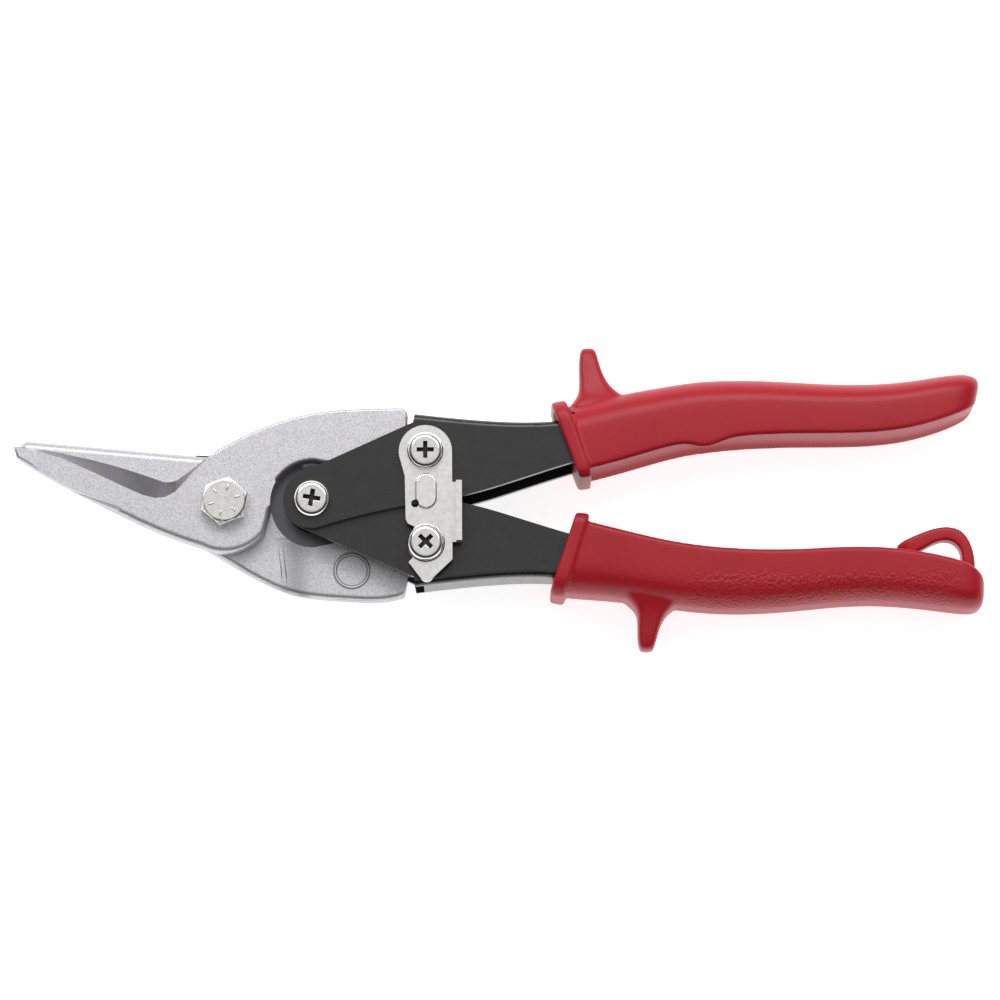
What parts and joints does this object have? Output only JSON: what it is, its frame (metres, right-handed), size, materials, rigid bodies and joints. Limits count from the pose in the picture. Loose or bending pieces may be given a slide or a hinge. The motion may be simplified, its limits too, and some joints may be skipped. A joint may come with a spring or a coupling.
{
  "type": "aviation snips",
  "caption": "Compound-action hand snips for sheet metal, left-cut pattern, with closed jaws, a pivoting latch plate and red vinyl grips.",
  "frame": {"origin": "on the main pivot's axis, at the pivot bolt's end face, which is the plane that the tool rests on", "axes": "+X from the main pivot towards the handles, +Y across the handles towards the upper grip, +Z along the main pivot towards the bolt head"},
  "size_m": [0.2494, 0.0797, 0.0285],
  "materials": {
    "jaw_steel": "fine blasted satin with a smooth ground bevel",
    "bright_plate": "bright nickel plate",
    "black_enamel": "gloss black enamel",
    "spring_steel": "oiled spring steel",
    "red_vinyl": "semi-gloss dipped vinyl"
  },
  "bodies": {
    "lower_handle": {"lower_handle": "black_enamel", "lower_grip": "red_vinyl", "lower_tail_screw": "bright_plate", "lower_tail_nut": "bright_plate", "lower_tail_spacer": "bright_plate"},
    "upper_handle": {"upper_handle": "black_enamel", "upper_grip": "red_vinyl", "upper_tail_screw": "bright_plate", "upper_tail_nut": "bright_plate", "upper_tail_spacers": "bright_plate", "handle_pivot_screw": "bright_plate", "handle_pivot_bush": "bright_plate", "handle_pivot_nut": "bright_plate", "return_spring": "spring_steel", "latch_washer": "bright_plate"},
    "front_jaw": {"front_jaw": "jaw_steel", "pivot_bolt": "bright_plate", "pivot_washer": "bright_plate", "pivot_nut": "bright_plate"},
    "rear_jaw": {"rear_jaw": "jaw_steel"},
    "latch": {"latch": "bright_plate"}
  },
  "joints": [
    {"name": "handle_fold", "type": "hinge", "parent": "lower_handle", "child": "upper_handle", "pos_m": [0.0225, 0, 0.0128], "axis": [0, 0, 1], "range_deg": [0, 42], "deforming": ["return_spring"]},
    {"name": "upper_tail_pivot", "type": "hinge", "parent": "upper_handle", "child": "front_jaw", "pos_m": [0.0516, 0.01185, 0.0128], "axis": [0, 0, 1], "range_deg": [-10, 0]},
    {"name": "main_pivot", "type": "hinge", "parent": "front_jaw", "child": "rear_jaw", "pos_m": [0, 0, 0.0128], "axis": [0, 0, 1], "range_deg": [-22.5, 0]},
    {"name": "latch_pivot", "type": "hinge", "parent": "upper_handle", "child": "latch", "pos_m": [0.0516, 0.01185, 0.0128], "axis": [0, 0, 1], "range_deg": [0, 105]}
  ],
  "couplings": [
    {"joint": "upper_tail_pivot", "follows": "handle_fold", "ratio": -0.23404},
    {"joint": "main_pivot", "follows": "handle_fold", "ratio": -0.53191},
    {"joint": "latch_pivot", "follows": "handle_fold", "ratio": 2.5}
  ]
}
